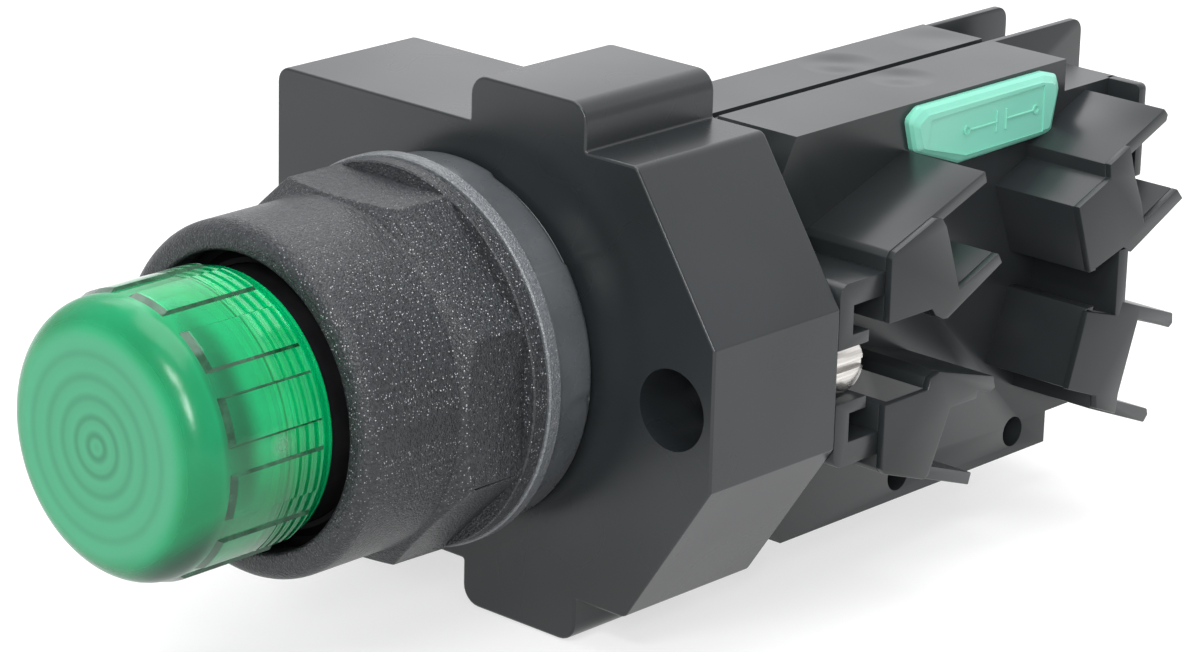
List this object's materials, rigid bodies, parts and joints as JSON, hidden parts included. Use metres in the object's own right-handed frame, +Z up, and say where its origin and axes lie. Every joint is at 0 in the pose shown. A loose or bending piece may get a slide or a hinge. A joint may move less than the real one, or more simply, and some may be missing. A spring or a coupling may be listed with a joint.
{
  "type": "illuminated push button",
  "caption": "Panel-mounted illuminated push button: green domed lens in a collar nut, black body with two contact blocks behind, side terminals under shrouds.",
  "frame": {"origin": "centre of the panel cut-out, in the plane of the body's front face", "axes": "+X to the right seen from the front, +Y into the panel towards the contact blocks, +Z up; the lens points to -Y"},
  "size_m": [0.0589, 0.1281, 0.054],
  "materials": {
    "lens_green": "translucent, glossy",
    "nut_black": "fine spark texture",
    "body_black": "satin",
    "block_black": "satin",
    "tag_mint": "satin",
    "inner_plastic": "satin",
    "rubber_black": "smooth",
    "brass_plain": "satin",
    "nickel": "nickel plated",
    "spring_steel": "drawn wire",
    "core_steel": "stacked sheets",
    "coil_copper": "enamelled wire",
    "bulb_glass": "clear"
  },
  "bodies": {
    "base": {"block_body_left": "block_black", "block_body_right": "block_black", "block_lugs_left": "block_black", "block_lugs_right": "block_black", "block_partition": "block_black", "block_screws": "nickel", "carrier_spring_left": "spring_steel", "carrier_spring_right": "spring_steel", "circuit_tag": "tag_mint", "clamp_plates_left": "nickel", "clamp_plates_right": "nickel", "fixed_contacts_left": "brass_plain", "fixed_contacts_right": "brass_plain", "housing_base": "body_black", "housing_screws": "nickel", "housing_shell": "body_black", "lamp_base": "brass_plain", "lamp_bulb": "bulb_glass", "lamp_holder": "inner_plastic", "lamp_socket": "brass_plain", "lip_seal": "rubber_black", "operator_bushing": "body_black", "panel_gasket": "rubber_black", "retaining_nut": "nut_black", "return_spring": "spring_steel", "socket_contact": "brass_plain", "socket_spring": "spring_steel", "supply_screws": "nickel", "supply_terminals": "nickel", "terminal_screws_left": "nickel", "terminal_screws_right": "nickel", "terminal_shrouds_left": "block_black", "terminal_shrouds_right": "block_black", "transformer_coil": "coil_copper", "transformer_core": "core_steel", "trim_ring": "nut_black"},
    "button": {"lens_cap": "lens_green", "plunger_sleeve": "inner_plastic", "pusher_yoke": "block_black"},
    "contact_right": {"contact_carrier_right": "inner_plastic", "bridge_contact_right": "brass_plain", "contact_spring_right": "spring_steel"},
    "contact_left": {"contact_carrier_left": "inner_plastic", "bridge_contact_left": "brass_plain", "contact_spring_left": "spring_steel"}
  },
  "joints": [
    {"name": "button_press", "type": "slide", "parent": "base", "child": "button", "axis": [0, 1, 0], "range_m": [0, 0.004], "stiffness_N_per_m": 500, "springref_m": -0.008, "deforming": ["return_spring"]},
    {"name": "contact_right_travel", "type": "slide", "parent": "base", "child": "contact_right", "axis": [0, 1, 0], "range_m": [0, 0.004], "stiffness_N_per_m": 60, "springref_m": -0.006, "deforming": ["carrier_spring_right"]},
    {"name": "contact_left_travel", "type": "slide", "parent": "base", "child": "contact_left", "axis": [0, 1, 0], "range_m": [0, 0.004], "stiffness_N_per_m": 60, "springref_m": -0.006, "deforming": ["carrier_spring_left"]}
  ],
  "couplings": [
    {"joint": "contact_right_travel", "follows": "button_press", "ratio": 1},
    {"joint": "contact_left_travel", "follows": "button_press", "ratio": 1}
  ]
}
